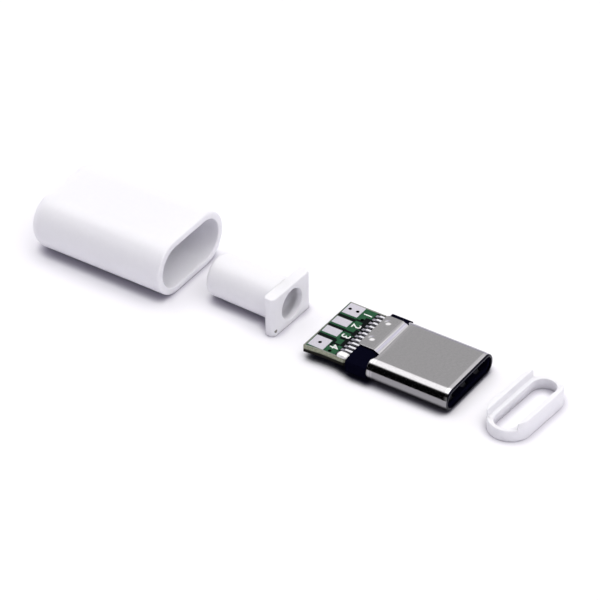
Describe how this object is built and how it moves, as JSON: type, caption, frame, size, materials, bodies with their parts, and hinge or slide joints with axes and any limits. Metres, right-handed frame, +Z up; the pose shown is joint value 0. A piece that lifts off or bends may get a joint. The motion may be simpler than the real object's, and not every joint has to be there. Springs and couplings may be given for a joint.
{
  "type": "reversible usb plug kit",
  "caption": "Reversible usb plug on its circuit board with white oval sleeve, strain relief and front ring, laid out in line for assembly.",
  "frame": {"origin": "centre of the whole kit's footprint, on the surface that it lies on", "axes": "+X is the way the plug is pushed in, +Y across the plug, +Z up"},
  "size_m": [0.056, 0.0108, 0.006],
  "materials": {
    "white_plastic": "smooth gloss moulding",
    "black_plastic": "fine matte moulding",
    "shell_steel": "plain drawn stainless, satin",
    "spring_steel": "thin sprung stainless",
    "contact_plating": "thin gold flash at the mouth, tinned tails",
    "board_green": "solder mask over glass fibre",
    "tinned_pad": "tinned copper pad",
    "solder": "bright solder",
    "resistor_black": "chip resistor body"
  },
  "bodies": {
    "root": {"bottom_contact_carrier": "black_plastic", "chip_resistor": "resistor_black", "circuit_board": "board_green", "contact_a1": "contact_plating", "contact_a10": "contact_plating", "contact_a11": "contact_plating", "contact_a12": "contact_plating", "contact_a2": "contact_plating", "contact_a3": "contact_plating", "contact_a4": "contact_plating", "contact_a5": "contact_plating", "contact_a6": "contact_plating", "contact_a7": "contact_plating", "contact_a8": "contact_plating", "contact_a9": "contact_plating", "contact_b1": "contact_plating", "contact_b10": "contact_plating", "contact_b11": "contact_plating", "contact_b12": "contact_plating", "contact_b2": "contact_plating", "contact_b3": "contact_plating", "contact_b4": "contact_plating", "contact_b5": "contact_plating", "contact_b6": "contact_plating", "contact_b7": "contact_plating", "contact_b8": "contact_plating", "contact_b9": "contact_plating", "front_insulator": "black_plastic", "front_ring": "white_plastic", "ground_solder_bottom": "solder", "ground_solder_top": "solder", "latch_spring": "spring_steel", "plug_shell": "shell_steel", "rear_holder": "black_plastic", "resistor_pads": "tinned_pad", "shield_spring_bottom": "spring_steel", "shield_spring_top": "spring_steel", "sleeve": "white_plastic", "strain_relief": "white_plastic", "tail_pads_bottom": "tinned_pad", "tail_pads_top": "tinned_pad", "tail_solder_bottom": "solder", "tail_solder_top": "solder", "top_contact_carrier": "black_plastic", "wire_pad_1": "tinned_pad", "wire_pad_2": "tinned_pad", "wire_pad_3": "tinned_pad", "wire_pad_4": "tinned_pad"}
  },
  "joints": []
}
